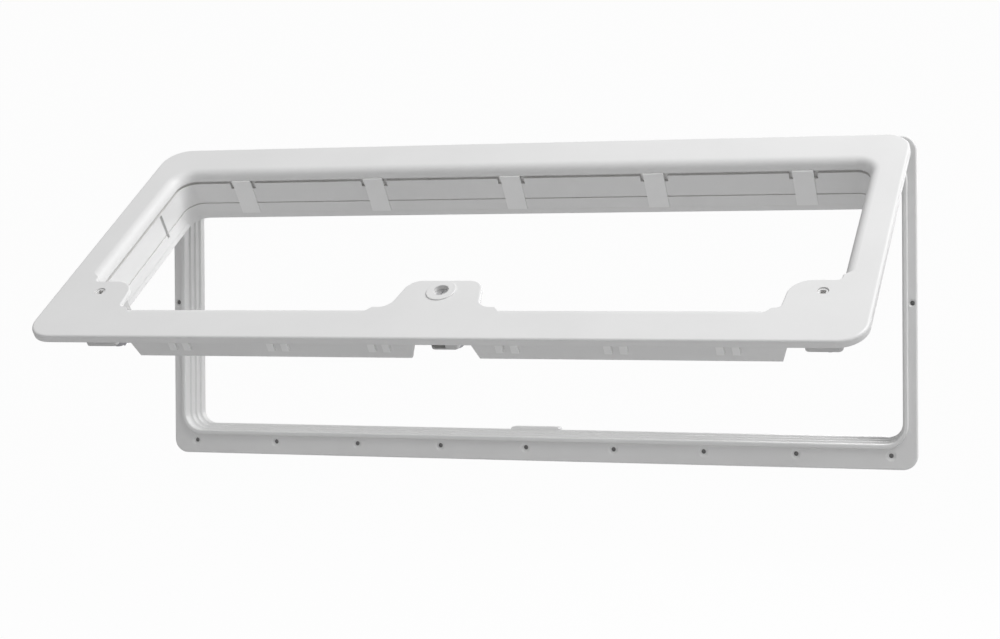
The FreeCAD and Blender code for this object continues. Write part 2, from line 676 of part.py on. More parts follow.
def main():
    os.makedirs("parts", exist_ok=True)
    pieces = {"wall_frame": wall_frame(), "strike": strike()}
    for number, x in enumerate(hinge_columns(), 1):
        pieces[f"hinge_pin_{number}"] = hinge_pin(x)
    for name, shape in leaf_pieces().items():
        pieces[name] = swing_open(shape)
    for name, shape in pieces.items():
        solid, = shape.Solids
        solid.exportStep(os.path.join("parts", f"{name}.step"))


main()
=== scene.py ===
"""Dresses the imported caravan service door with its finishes, fixings and studio stage."""
import json
import math

import bmesh
import bpy
from bpy.props import FloatProperty, FloatVectorProperty, PointerProperty
from bpy.types import Operator, Panel, PropertyGroup
from mathutils import Matrix, Vector


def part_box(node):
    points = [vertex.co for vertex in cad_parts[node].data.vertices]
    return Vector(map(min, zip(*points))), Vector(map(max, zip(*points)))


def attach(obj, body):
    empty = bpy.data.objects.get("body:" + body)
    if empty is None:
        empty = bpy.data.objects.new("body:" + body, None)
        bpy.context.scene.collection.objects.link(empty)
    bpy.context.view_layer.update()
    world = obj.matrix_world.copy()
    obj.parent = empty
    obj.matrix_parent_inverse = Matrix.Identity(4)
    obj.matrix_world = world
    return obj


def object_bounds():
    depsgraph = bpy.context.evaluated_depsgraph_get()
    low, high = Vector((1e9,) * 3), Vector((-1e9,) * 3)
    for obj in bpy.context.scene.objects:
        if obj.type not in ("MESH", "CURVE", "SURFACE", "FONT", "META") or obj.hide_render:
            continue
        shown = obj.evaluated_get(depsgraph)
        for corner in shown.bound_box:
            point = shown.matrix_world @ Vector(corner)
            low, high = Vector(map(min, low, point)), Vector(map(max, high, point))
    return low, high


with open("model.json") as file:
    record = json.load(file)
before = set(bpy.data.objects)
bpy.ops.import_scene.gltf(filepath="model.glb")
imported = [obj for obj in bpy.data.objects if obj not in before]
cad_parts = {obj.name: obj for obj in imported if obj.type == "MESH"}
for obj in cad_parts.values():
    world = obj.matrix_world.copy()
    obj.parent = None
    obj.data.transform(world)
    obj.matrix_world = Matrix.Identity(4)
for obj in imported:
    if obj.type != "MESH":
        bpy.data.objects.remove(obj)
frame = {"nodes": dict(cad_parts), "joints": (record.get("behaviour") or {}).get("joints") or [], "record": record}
CAD_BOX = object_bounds()

bl_info = {
    "name": "Caravan service door",
    "version": (1, 0, 0),
    "blender": (4, 5, 0),
    "location": "View3D > Sidebar > Service door",
    "description": "Finishes, fixings and stage of a top-hung caravan service door",
    "category": "Object",
}

BODIES = frame["record"]["behaviour"]["bodies"]
JOINTS = {joint["name"]: joint for joint in frame["joints"]}

# Directions on the open leaf: along its rails, up towards the hinge and back from its front face
ALONG = Vector((1, 0, 0))
BACK = Vector(JOINTS["left_latch_turn"]["axis"])
UP = ALONG.cross(BACK)

# Spindle, cam and housing of each latch, by the body that turns
LATCHES = {"centre_lock": ("lock_barrel", "lock_cam", "lock_housing"),
           "left_latch": ("latch_spindle_left", "latch_cam_left", "latch_housing_left"),
           "right_latch": ("latch_spindle_right", "latch_cam_right", "latch_housing_right")}

MM = 0.001
QUARTER_TURN = math.radians(90)
SHARP_ANGLE = math.radians(32)
SENSOR_WIDTH = 36
BEVEL_SAMPLES = 4
WHITE = (1, 1, 1, 1)
PAPER_SHADES = ((0.55, 0.55, 0.55, 1), (0.57, 0.57, 0.57, 1))

# Rings of a pan head from its seat to its top, as shares of its radius and its height
HEAD_RINGS = ((1.0, 0.0), (1.0, 0.35), (0.94, 0.66), (0.80, 0.88), (0.62, 1.0))
HEAD_SIDES = 24
# Reach and half width of its cross recess as shares of the radius, and the share of the height
RECESS_MOUTH = (0.52, 0.12, 1.0)
RECESS_FLOOR = (0.34, 0.08, 0.35)

# Middles of a spring ring's lobes and its two ends, in degrees from the spindle's upper side
RING_LOBES = (0, 115, -115)
RING_END = 132
RING_STEPS = 88
LOBE_HALF = 14
LOBE_SLOPE = 12


class ServiceDoorFinish(PropertyGroup):
    """Colours of the mouldings, the metal fittings, the foam, and the dust that also serves as painted shade."""

    moulding: FloatVectorProperty(
        name="Moulding", description="White satin plastic of the leaf and the wall frame",
        subtype="COLOR", size=4, min=0, max=1, default=(0.80, 0.80, 0.80, 1))
    clip: FloatVectorProperty(
        name="Clips", description="Matt nylon of the panel clips",
        subtype="COLOR", size=4, min=0, max=1, default=(0.90, 0.90, 0.90, 1))
    housing: FloatVectorProperty(
        name="Housings", description="Pale grey plastic of the latch housings",
        subtype="COLOR", size=4, min=0, max=1, default=(0.60, 0.60, 0.60, 1))
    plating: FloatVectorProperty(
        name="Plating", description="Plated barrel of the lock",
        subtype="COLOR", size=4, min=0, max=1, default=(0.86, 0.86, 0.87, 1))
    casting: FloatVectorProperty(
        name="Casting", description="Cast zinc of the cams",
        subtype="COLOR", size=4, min=0, max=1, default=(0.50, 0.50, 0.52, 1))
    steel: FloatVectorProperty(
        name="Steel", description="Drawn steel of the hinge pins, the screws and the spring rings",
        subtype="COLOR", size=4, min=0, max=1, default=(0.56, 0.56, 0.57, 1))
    # Colour of the dust, which also serves as painted shade in grooves and inside corners.
    dust_and_shade: FloatVectorProperty(
        name="Dust", description="Dust and painted shade in corners and grooves",
        subtype="COLOR", size=4, min=0, max=1, default=(0.46, 0.44, 0.41, 1))
    foam: FloatVectorProperty(
        name="Foam", description="Grey foam of the sealing strip behind the flange",
        subtype="COLOR", size=4, min=0, max=1, default=(0.20, 0.20, 0.20, 1))


class ServiceDoorFixings(PropertyGroup):
    """Sizes of the sealing strip, the screws and the spring rings."""

    strip_thickness: FloatProperty(
        name="Strip thickness", description="Thickness of the sealing strip behind the flange",
        subtype="DISTANCE", unit="LENGTH", default=1.2 * MM)
    strip_edge: FloatProperty(
        name="Strip edge", description="How far the strip stays inside the flange's edge",
        subtype="DISTANCE", unit="LENGTH", default=1.0 * MM)
    strip_rail_width: FloatProperty(
        name="Strip width, rails", description="Width of the strip behind the top and bottom flange",
        subtype="DISTANCE", unit="LENGTH", default=19.0 * MM)
    strip_side_width: FloatProperty(
        name="Strip width, sides", description="Width of the strip behind the side flanges",
        subtype="DISTANCE", unit="LENGTH", default=8.8 * MM)
    screw_radius: FloatProperty(
        name="Screw head radius", description="Radius of the pan heads that hold the latch housings",
        subtype="DISTANCE", unit="LENGTH", default=3.0 * MM)
    screw_height: FloatProperty(
        name="Screw head height", description="Height of those pan heads",
        subtype="DISTANCE", unit="LENGTH", default=2.0 * MM)
    screw_inset: FloatProperty(
        name="Screw inset", description="From a housing's edges to its screws",
        subtype="DISTANCE", unit="LENGTH", default=4.6 * MM)
    ring_thickness: FloatProperty(
        name="Ring thickness", description="Thickness of the spring ring that holds a cam on its spindle",
        subtype="DISTANCE", unit="LENGTH", default=0.7 * MM)
    ring_wall: FloatProperty(
        name="Ring wall", description="From a spindle to the outside of its spring ring",
        subtype="DISTANCE", unit="LENGTH", default=2.9 * MM)
    ring_relief: FloatProperty(
        name="Ring relief", description="From a spindle to its spring ring between the ring's three lobes",
        subtype="DISTANCE", unit="LENGTH", default=1.1 * MM)


class ServiceDoorStage(PropertyGroup):
    """Camera, light and floor."""

    camera_yaw: FloatProperty(
        name="Yaw", description="How far the camera stands to the right of the wall's normal",
        subtype="ANGLE", unit="ROTATION", default=math.radians(15.521))
    camera_pitch: FloatProperty(
        name="Pitch", description="How far the camera looks down",
        subtype="ANGLE", unit="ROTATION", default=math.radians(0.3364))
    camera_roll: FloatProperty(
        name="Roll", description="Turn of the camera about its own axis",
        subtype="ANGLE", unit="ROTATION", default=math.radians(-0.3203))
    camera_distance: FloatProperty(
        name="Distance", description="From the camera to the point that it looks at",
        subtype="DISTANCE", unit="LENGTH", default=1.75678)
    camera_lens: FloatProperty(
        name="Lens", description="Focal length on a 36 mm sensor", unit="CAMERA", default=66.303)
    camera_shift: FloatVectorProperty(
        name="Shift", description="Shift of the lens to the right and up, in widths of the picture",
        size=2, default=(-0.19, -0.05))
    camera_target: FloatVectorProperty(
        name="Target", description="Point that the camera looks at",
        subtype="TRANSLATION", unit="LENGTH", size=3, default=(0.16729, 0.0, 0.17602))
    floor_drop: FloatProperty(
        name="Floor drop", description="Height of the wall frame above the floor",
        subtype="DISTANCE", unit="LENGTH", default=0.45)
    sky: FloatProperty(
        name="Room light", description="Brightness of the light from the white room", min=0, default=0.44)
    room_white: FloatProperty(
        name="Room white", description="Brightness of the room as the camera sees it", min=0, default=0.98)
    paper_white: FloatProperty(
        name="Paper white", description="Share of plain white in the backdrop as the camera sees it",
        subtype="FACTOR", min=0, max=1, default=0.97)
    key: FloatProperty(
        name="Key light", description="Power of the large light above and to the right",
        unit="POWER", min=0, default=121.0)
    key_place: FloatVectorProperty(
        name="Key place", description="Place of that light, from the middle of the object",
        subtype="TRANSLATION", unit="LENGTH", size=3, default=(2.34, -0.3, 3.12))
    key_size: FloatVectorProperty(
        name="Key size", description="Width and height of that light",
        unit="LENGTH", size=2, default=(2.0, 2.0))
    back: FloatProperty(
        name="Back light", description="Power of the soft light behind the wall",
        unit="POWER", min=0, default=14.0)
    back_place: FloatVectorProperty(
        name="Back place", description="Place of that light, from the middle of the object",
        subtype="TRANSLATION", unit="LENGTH", size=3, default=(0.4, 2.0, 0.6))
    back_size: FloatVectorProperty(
        name="Back size", description="Width and height of that light",
        unit="LENGTH", size=2, default=(1.4, 1.0))


class ServiceDoorSettings(PropertyGroup):
    """All settings of the part."""

    finish: PointerProperty(type=ServiceDoorFinish)
    fixings: PointerProperty(type=ServiceDoorFixings)
    stage: PointerProperty(type=ServiceDoorStage)


def settings():
    """The scene's settings of the part."""
    return bpy.context.scene.service_door


# Node trees

class NodeSheet:
    """A node tree under construction."""

    def __init__(self, tree):
        self.tree = tree

    def feed(self, socket, value):
        """Links another node's output to a socket, or sets a constant on it."""
        if isinstance(value, bpy.types.NodeSocket):
            self.tree.links.new(value, socket)
        else:
            socket.default_value = value

    def add(self, kind, inputs=None, **values):
        """A node; inputs maps a socket's name or number to a constant or to another node's output."""
        node = self.tree.nodes.new(kind)
        for name, value in values.items():
            setattr(node, name, value)
        for key, value in (inputs or {}).items():
            self.feed(node.inputs[key], value)
        return node

    def place(self):
        """Where a point lies on the object."""
        return self.add("ShaderNodeTexCoord").outputs["Object"]

    def math(self, operation, a, b, clamp=False):
        """Result of an arithmetic operation on two values."""
        return self.add("ShaderNodeMath", {0: a, 1: b}, operation=operation, use_clamp=clamp).outputs[0]

    def spread(self, value, low, high, to_low=0.0, to_high=1.0):
        """A value mapped from one range to another and held inside it."""
        node = self.add("ShaderNodeMapRange", {"Value": value, "From Min": low, "From Max": high,
                                               "To Min": to_low, "To Max": to_high})
        return node.outputs["Result"]

    def blend(self, factor, a, b):
        """Colour a turning into colour b; a Mix node has its colours in sockets 6 and 7."""
        node = self.add("ShaderNodeMix", data_type="RGBA")
        for index, value in ((0, factor), (6, a), (7, b)):
            self.feed(node.inputs[index], value)
        return node.outputs[2]

    def noise(self, vector, scale, detail=2.0, roughness=0.5):
        """Cloudy values from 0 to 1."""
        node = self.add("ShaderNodeTexNoise", {"Vector": vector, "Scale": scale, "Detail": detail,
                                               "Roughness": roughness})
        return node.outputs["Fac"]


def effect_group(name, inputs, outputs):
    """A new node group whose inputs and outputs are all floats."""
    tree = bpy.data.node_groups.new(name, "ShaderNodeTree")
    for label, default in inputs.items():
        socket = tree.interface.new_socket(name=label, in_out="INPUT", socket_type="NodeSocketFloat")
        socket.default_value = default
    for label in outputs:
        tree.interface.new_socket(name=label, in_out="OUTPUT", socket_type="NodeSocketFloat")
    sheet = NodeSheet(tree)
    given = sheet.add("NodeGroupInput").outputs
    out = sheet.add("NodeGroupOutput").inputs
    return sheet, given, out


def moulded_grain_group():
    """Fine spark-eroded grain with a faint cloudiness from the melt."""
    sheet, given, out = effect_group(
        "Moulded grain", {"Grain Scale": 1400.0, "Cloud Scale": 9.0}, ("Height", "Cloud"))
    coarse_scale = 0.23
    fine_share = 0.65
    coarse_share = 0.35
    place = sheet.place()
    fine = sheet.noise(place, given["Grain Scale"], 3.0, 0.6)
    coarse = sheet.noise(place, sheet.math("MULTIPLY", given["Grain Scale"], coarse_scale), 2.0, 0.5)
    cloud = sheet.noise(place, given["Cloud Scale"], 4.0, 0.55)
    sheet.feed(out["Height"], sheet.math("ADD", sheet.math("MULTIPLY", fine, fine_share),
                                         sheet.math("MULTIPLY", coarse, coarse_share)))
    sheet.feed(out["Cloud"], sheet.spread(cloud, 0.3, 0.7))
    return sheet.tree


def edge_wear_group():
    """Mask of the corners and edges that hands and tools rub."""
    sheet, given, out = effect_group("Edge wear", {"Width": 0.0012, "Patchiness": 60.0}, ("Mask",))
    flat = sheet.add("ShaderNodeNewGeometry").outputs["Normal"]
    soft = sheet.add("ShaderNodeBevel", {"Radius": given["Width"]}, samples=BEVEL_SAMPLES).outputs["Normal"]
    facing = sheet.add("ShaderNodeVectorMath", {0: flat, 1: soft}, operation="DOT_PRODUCT").outputs["Value"]
    edge = sheet.spread(facing, 0.99, 0.80)
    patch = sheet.spread(sheet.noise(sheet.place(), given["Patchiness"], 4.0, 0.6), 0.38, 0.62)
    sheet.feed(out["Mask"], sheet.math("MULTIPLY", edge, patch))
    return sheet.tree


def dust_and_shade_group():
    """Mask of dust and painted shade: darker in grooves and inside corners, found by ambient occlusion, broken
    into patches.
    """
    sheet, given, out = effect_group("Dust and painted shade", {"Reach": 0.012, "Patchiness": 45.0}, ("Mask",))
    openness = sheet.add("ShaderNodeAmbientOcclusion", {"Distance": given["Reach"]}, samples=4).outputs["AO"]
    # Painted shade and dust: the ambient occlusion mask darkens grooves and inside corners.
    corner = sheet.spread(openness, 0.75, 0.15)
    patch = sheet.spread(sheet.noise(sheet.place(), given["Patchiness"], 5.0, 0.6), 0.3, 0.75, 0.35, 1.0)
    sheet.feed(out["Mask"], sheet.math("MULTIPLY", corner, patch))
    return sheet.tree


def drawn_lines_group():
    """Fine lines drawn along the X axis by a die or a brush."""
    sheet, given, out = effect_group("Drawn lines", {"Pitch": 2600.0, "Stretch": 0.02}, ("Height", "Shade"))
    parts = sheet.add("ShaderNodeSeparateXYZ", {0: sheet.place()}).outputs
    along = sheet.math("MULTIPLY", parts["X"], given["Stretch"])
    squeezed = sheet.add("ShaderNodeCombineXYZ", {"X": along, "Y": parts["Y"], "Z": parts["Z"]}).outputs[0]
    lines = sheet.noise(squeezed, given["Pitch"], 3.0, 0.6)
    sheet.feed(out["Height"], lines)
    sheet.feed(out["Shade"], sheet.spread(lines, 0.3, 0.7))
    return sheet.tree


def foam_pores_group():
    """Closed cells of a foam, cut open at the surface."""
    sheet, given, out = effect_group("Foam pores", {"Cell Scale": 900.0}, ("Height", "Shade"))
    cells = sheet.add("ShaderNodeTexVoronoi", {"Vector": sheet.place(), "Scale": given["Cell Scale"]})
    hollow = sheet.spread(cells.outputs["Distance"], 0.1, 0.5)
    sheet.feed(out["Height"], hollow)
    sheet.feed(out["Shade"], hollow)
    return sheet.tree


def effect(name):
    """A shared effect, built the first time that it is asked for."""
    makers = {"Moulded grain": moulded_grain_group, "Edge wear": edge_wear_group,
              "Dust and painted shade": dust_and_shade_group, "Drawn lines": drawn_lines_group,
              "Foam pores": foam_pores_group}
    return bpy.data.node_groups.get(name) or makers[name]()


def place_effect(sheet, name, **values):
    """Places a shared effect in a material with its own values."""
    node = sheet.add("ShaderNodeGroup")
    node.node_tree = effect(name)
    for key, value in values.items():
        node.inputs[key.replace("_", " ")].default_value = value
    return node.outputs


def new_material(name):
    """A material with an empty Principled shader."""
    material = bpy.data.materials.new(name)
    material.use_nodes = True
    material.node_tree.nodes.clear()
    sheet = NodeSheet(material.node_tree)
    shader = sheet.add("ShaderNodeBsdfPrincipled")
    sheet.add("ShaderNodeOutputMaterial", {"Surface": shader.outputs[0]})
    return material, sheet, shader


def shaded(colour, factor):
    """A colour made lighter or darker."""
    return tuple(min(1.0, part * factor) for part in colour[:3]) + (1.0,)


def soften(sheet, shader, round_r, height, strength, distance):
    """Rounds a surface's edges and raises its grain."""
    soft = sheet.add("ShaderNodeBevel", {"Radius": round_r}, samples=BEVEL_SAMPLES).outputs["Normal"]
    bump = sheet.add("ShaderNodeBump", {"Strength": strength, "Distance": distance, "Height": height,
                                        "Normal": soft})
    sheet.feed(shader.inputs["Normal"], bump.outputs[0])


def plastic(name, colour, roughness, grain, wear, dust_and_shade, round_r):
    """Moulded plastic: cloudy colour, worn edges, grooves and corners darkened with dust and painted shade, fine
    grain and softened edges.
    """
    material = bpy.data.materials.get(name)
    if material:
        return material
    material, sheet, shader = new_material(name)
    moulded = place_effect(sheet, "Moulded grain", Grain_Scale=grain)
    worn = place_effect(sheet, "Edge wear", Width=round_r * 2)
    dust_and_shade_mask = place_effect(sheet, "Dust and painted shade")
    body = sheet.blend(moulded["Cloud"], shaded(colour, 0.975), shaded(colour, 1.015))
    rubbed = sheet.blend(sheet.math("MULTIPLY", worn["Mask"], wear), body, shaded(colour, 1.08))
    # Painted shade together with dust: grooves and inside corners turn towards the dust colour.
    dusty_and_shaded = sheet.blend(sheet.math("MULTIPLY", dust_and_shade_mask["Mask"], dust_and_shade), rubbed, tuple(settings().finish.dust_and_shade))
    sheet.feed(shader.inputs["Base Color"], dusty_and_shaded)
    polish = 0.08
    dulling = 0.2 * dust_and_shade
    even = sheet.spread(moulded["Cloud"], 0.0, 1.0, roughness - 0.04, roughness + 0.05)
    polished = sheet.math("SUBTRACT", even, sheet.math("MULTIPLY", worn["Mask"], polish))
    dulled = sheet.math("ADD", polished, sheet.math("MULTIPLY", dust_and_shade_mask["Mask"], dulling), clamp=True)
    sheet.feed(shader.inputs["Roughness"], dulled)
    sheet.feed(shader.inputs["Specular IOR Level"], 0.45)
    soften(sheet, shader, round_r, moulded["Height"], strength=0.10, distance=0.0003)
    return material


def metal(name, colour, roughness, grain_effect, relief, wear, round_r):
    """Metal with a grain or drawn lines, and brighter rubbed edges."""
    material = bpy.data.materials.get(name)
    if material:
        return material
    material, sheet, shader = new_material(name)
    surface = place_effect(sheet, grain_effect)
    worn = place_effect(sheet, "Edge wear", Width=round_r * 2)
    shade = surface["Cloud"] if grain_effect == "Moulded grain" else surface["Shade"]
    body = sheet.blend(shade, shaded(colour, 0.88), shaded(colour, 1.06))
    rubbed = sheet.blend(sheet.math("MULTIPLY", worn["Mask"], wear), body, shaded(colour, 1.35))
    sheet.feed(shader.inputs["Base Color"], rubbed)
    sheet.feed(shader.inputs["Roughness"], sheet.spread(shade, 0.0, 1.0, roughness + 0.07, roughness - 0.05))
    sheet.feed(shader.inputs["Metallic"], 1.0)
    soften(sheet, shader, round_r, surface["Height"], strength=relief, distance=0.0002)
    return material


def seal_foam():
    """Soft grey foam with open cells."""
    material = bpy.data.materials.get("Seal foam")
    if material:
        return material
    material, sheet, shader = new_material("Seal foam")
    pores = place_effect(sheet, "Foam pores")
    colour = settings().finish.foam
    body = sheet.blend(pores["Shade"], shaded(colour, 0.7), shaded(colour, 1.2))
    bump = sheet.add("ShaderNodeBump", {"Strength": 0.4, "Distance": 0.0004, "Height": pores["Height"]})
    sheet.feed(shader.inputs["Base Color"], body)
    sheet.feed(shader.inputs["Roughness"], sheet.spread(pores["Shade"], 0.0, 1.0, 0.95, 0.82))
    sheet.feed(shader.inputs["Normal"], bump.outputs[0])
    return material


def white_moulding():
    """Satin white plastic of the leaf and the wall frame."""
    return plastic("White moulding", settings().finish.moulding, roughness=0.42, grain=1400.0,
                   wear=0.5, dust_and_shade=0.50, round_r=0.0006)


def clip_nylon():
    """Matt nylon of the panel clips."""
    return plastic("Clip nylon", settings().finish.clip, roughness=0.5, grain=2200.0,
                   wear=0.4, dust_and_shade=0.30, round_r=0.0003)


def housing_plastic():
    """Pale grey plastic of the latch housings."""
    return plastic("Housing plastic", settings().finish.housing, roughness=0.52, grain=1100.0,
                   wear=0.7, dust_and_shade=0.35, round_r=0.0006)


def lock_plating():
    """Plating of the lock's barrel."""
    return metal("Lock plating", settings().finish.plating, roughness=0.34, grain_effect="Drawn lines",
                 relief=0.05, wear=0.5, round_r=0.0004)


def cast_zinc():
    """Cast zinc of the cams."""
    return metal("Cast zinc", settings().finish.casting, roughness=0.42, grain_effect="Moulded grain",
                 relief=0.35, wear=0.8, round_r=0.0004)


def drawn_steel():
    """Drawn steel of the hinge pins, the screws and the spring rings."""
    return metal("Drawn steel", settings().finish.steel, roughness=0.28, grain_effect="Drawn lines",
                 relief=0.12, wear=0.6, round_r=0.0002)


def finish_nodes(names, material):
    """Gives CAD nodes their material."""
    for name in names:
        mesh = frame["nodes"][name].data
        if not mesh.materials:
            mesh.materials.append(material)
        for index in range(len(mesh.materials)):
            mesh.materials[index] = material


# Meshes

def extent(node, origin, direction):
    """The lowest and highest place of a CAD node along a direction from an origin."""
    places = [(vertex.co - origin).dot(direction) for vertex in frame["nodes"][node].data.vertices]
    return min(places), max(places)


def spindle_radius(spindle, origin):
    """Radius of a spindle's back end."""
    end = extent(spindle, origin, BACK)[1]
    tip = [vertex.co - origin for vertex in frame["nodes"][spindle].data.vertices
           if (vertex.co - origin).dot(BACK) > end - 0.1 * MM]
    return max(place.dot(ALONG) for place in tip)


def latch_origin(body):
    """Point on a latch's axis at the leaf's front face."""
    return Vector(JOINTS[f"{body}_turn"]["pos_m"])


def stand_on_back(x_along, up, back, origin):
    """Matrix that stands a piece, built along Z, on the back of the leaf."""
    place = origin + ALONG * x_along + UP * up + BACK * back
    return Matrix.Translation(place) @ Matrix((-ALONG, UP, BACK)).transposed().to_4x4()


def ring(mesh, points):
    """New vertices at the points."""
    return [mesh.verts.new(point) for point in points]


def loft(mesh, rings, closed=False):
    """Faces between rings with as many points each; closed joins the last ring to the first."""
    pairs = list(zip(rings, rings[1:]))
    if closed:
        pairs.append((rings[-1], rings[0]))
    for low, high in pairs:
        for index in range(len(low)):
            after = (index + 1) % len(low)
            mesh.faces.new((low[index], low[after], high[after], high[index]))


def loop_edges(mesh, verts):
    """Edges that join the vertices in a closed loop."""
    return [mesh.edges.get((verts[i - 1], verts[i])) or mesh.edges.new((verts[i - 1], verts[i]))
            for i in range(len(verts))]


def join(mesh, other):
    """Moves another mesh's faces into this one."""
    data = bpy.data.meshes.new("joined")
    other.to_mesh(data)
    other.free()
    mesh.from_mesh(data)
    bpy.data.meshes.remove(data)


def new_piece(name, mesh, material, body, placing=None):
    """An object from a finished mesh, placed, smoothed and fastened to a body."""
    bmesh.ops.recalc_face_normals(mesh, faces=mesh.faces)
    if placing:
        bmesh.ops.transform(mesh, matrix=placing, verts=mesh.verts)
    data = bpy.data.meshes.new(name)
    mesh.to_mesh(data)
    mesh.free()
    data.materials.append(material)
    data.shade_smooth()
    data.set_sharp_from_angle(angle=SHARP_ANGLE)
    piece = bpy.data.objects.new(name, data)
    bpy.context.scene.collection.objects.link(piece)
    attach(piece, body)


def rounded_rectangle(half_w, z0, z1, radius, y, arc_steps=10):
    """Points of an upright rectangle with round corners."""
    points = []
    centres = [(half_w - radius, z1 - radius), (radius - half_w, z1 - radius),
               (radius - half_w, z0 + radius), (half_w - radius, z0 + radius)]
    for quarter, (x, z) in enumerate(centres):
        for step in range(arc_steps + 1):
            turn = QUARTER_TURN * (quarter + step / arc_steps)
            points.append((x + radius * math.cos(turn), y, z + radius * math.sin(turn)))
    return points


def add_sealing_strip():
    """Foam strip on the back of the flange, round the jamb."""
    sizes = settings().fixings
    low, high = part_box("wall_frame")
    corner_r = 13 * MM
    jamb_r = 20 * MM
    rounding = sizes.strip_thickness * 0.3
    seat = 0.02 * MM
    back = seat + sizes.strip_thickness

    def line(side, rail, radius, y):
        side += sizes.strip_edge
        rail += sizes.strip_edge
        return rounded_rectangle(high.x - side, low.z + rail, high.z - rail, radius, y)

    side, rail = sizes.strip_side_width, sizes.strip_rail_width
    lines = [line(0, 0, corner_r, seat), line(0, 0, corner_r, back - rounding),
             line(rounding, rounding, corner_r - rounding, back),
             line(side - rounding, rail - rounding, jamb_r + rounding, back),
             line(side, rail, jamb_r, back - rounding), line(side, rail, jamb_r, seat)]
    mesh = bmesh.new()
    loft(mesh, [ring(mesh, points) for points in lines], closed=True)
    new_piece("sealing_strip", mesh, seal_foam(), "wall_frame")


def circle(radius, height, count):
    """Points round the Z axis."""
    turns = [2 * math.pi * index / count for index in range(count)]
    return [(radius * math.cos(turn), radius * math.sin(turn), height) for turn in turns]


def cross_outline(reach, half_width, height):
    """Points of a cross recess, counter-clockwise."""
    a, b = half_width, reach
    corners = [(b, -a), (b, a), (a, a), (a, b), (-a, b), (-a, a), (-b, a), (-b, -a), (-a, -a), (-a, -b),
               (a, -b), (a, -a)]
    return [(x, y, height) for x, y in corners]


def pan_head(mesh, radius, height):
    """Pan head with a cross recess, standing on the XY plane."""
    rings = [ring(mesh, circle(radius * wide, height * high, HEAD_SIDES)) for wide, high in HEAD_RINGS]
    loft(mesh, rings)
    mesh.faces.new(rings[0])
    mouth, floor = [ring(mesh, cross_outline(radius * reach, radius * half_width, height * high))
                    for reach, half_width, high in (RECESS_MOUTH, RECESS_FLOOR)]
    bmesh.ops.bridge_loops(mesh, edges=loop_edges(mesh, rings[-1]) + loop_edges(mesh, mouth))
    loft(mesh, [mouth, floor])
    mesh.faces.new(floor)


def add_housing_screws(body):
    """Two pan-head screws on opposite corners of a housing's back."""
    sizes = settings().fixings
    origin = latch_origin(body)
    housing = LATCHES[body][2]
    left, right = extent(housing, origin, ALONG)
    low, top = extent(housing, origin, UP)
    back = extent(housing, origin, BACK)[1]
    inset = sizes.screw_inset
    mesh = bmesh.new()
    for x_along, up in ((left + inset, top - inset), (right - inset, low + inset)):
        head = bmesh.new()
        pan_head(head, sizes.screw_radius, sizes.screw_height)
        bmesh.ops.recalc_face_normals(head, faces=head.faces)
        bmesh.ops.transform(head, matrix=stand_on_back(x_along, up, back, origin), verts=head.verts)
        join(mesh, head)
    new_piece(f"{housing}_screws", mesh, drawn_steel(), "door")


def ring_section(turn, grip_r, relief, outer_r, thickness):
    """Points round a spring ring's section; the ring grips the spindle with three lobes."""
    off_lobe = min(abs(math.degrees(turn) - lobe) for lobe in RING_LOBES)
    clear = min(1.0, max(0.0, (off_lobe - LOBE_HALF) / LOBE_SLOPE))
    inner_r = grip_r + relief * clear * clear * (3 - 2 * clear)
    soft = thickness * 0.25
    corners = [(inner_r, 0), (outer_r - soft, 0), (outer_r, soft), (outer_r, thickness - soft),
               (outer_r - soft, thickness), (inner_r + soft, thickness), (inner_r, thickness - soft)]
    return [(r * math.sin(turn), r * math.cos(turn), z) for r, z in corners]


def add_cam_ring(body):
    """Open spring ring that holds a cam on its spindle."""
    sizes = settings().fixings
    origin = latch_origin(body)
    spindle, cam = LATCHES[body][:2]
    back = extent(cam, origin, BACK)[1]
    spindle_r = spindle_radius(spindle, origin)
    grip_r = spindle_r + 0.05 * MM
    outer_r = spindle_r + sizes.ring_wall
    turns = [math.radians(RING_END) * (2 * step / RING_STEPS - 1) for step in range(RING_STEPS + 1)]
    mesh = bmesh.new()
    sections = [ring(mesh, ring_section(turn, grip_r, sizes.ring_relief, outer_r, sizes.ring_thickness))
                for turn in turns]
    loft(mesh, sections)
    mesh.faces.new(sections[0])
    mesh.faces.new(sections[-1])
    new_piece(f"{cam}_ring", mesh, drawn_steel(), body, stand_on_back(0, 0, back, origin))


# Stage

def camera_axes(yaw, pitch, roll):
    """The camera's right, up and forward directions."""
    forward = Vector((-math.sin(yaw) * math.cos(pitch), math.cos(yaw) * math.cos(pitch), -math.sin(pitch)))
    level = Vector((math.cos(yaw), math.sin(yaw), 0))
    upright = level.cross(forward)
    right = level * math.cos(roll) + upright * math.sin(roll)
    up = upright * math.cos(roll) - level * math.sin(roll)
    return right, up, forward


def add_camera(stage):
    """The camera, at the photograph's viewing angle."""
    right, up, forward = camera_axes(stage.camera_yaw, stage.camera_pitch, stage.camera_roll)
    camera = bpy.data.cameras.new("Camera")
    camera.sensor_width = SENSOR_WIDTH
    camera.lens = stage.camera_lens
    camera.shift_x, camera.shift_y = stage.camera_shift
    holder = bpy.data.objects.new("Camera", camera)
    place = Vector(stage.camera_target) - forward * stage.camera_distance
    turn = Matrix((right, up, -forward)).transposed().to_4x4()
    holder.matrix_world = Matrix.Translation(place) @ turn
    bpy.context.scene.collection.objects.link(holder)
    bpy.context.scene.camera = holder


def add_softbox(name, power, from_middle, size):
    """A large soft area light that looks at the middle of the object."""
    middle = (CAD_BOX[0] + CAD_BOX[1]) / 2
    place = middle + Vector(from_middle)
    light = bpy.data.lights.new(name, "AREA")
    light.shape = "RECTANGLE"
    light.size, light.size_y = size
    light.energy = power
    holder = bpy.data.objects.new(name, light)
    holder.rotation_euler = (middle - place).to_track_quat("-Z", "Y").to_euler()
    holder.location = place
    holder.visible_camera = False
    bpy.context.scene.collection.objects.link(holder)


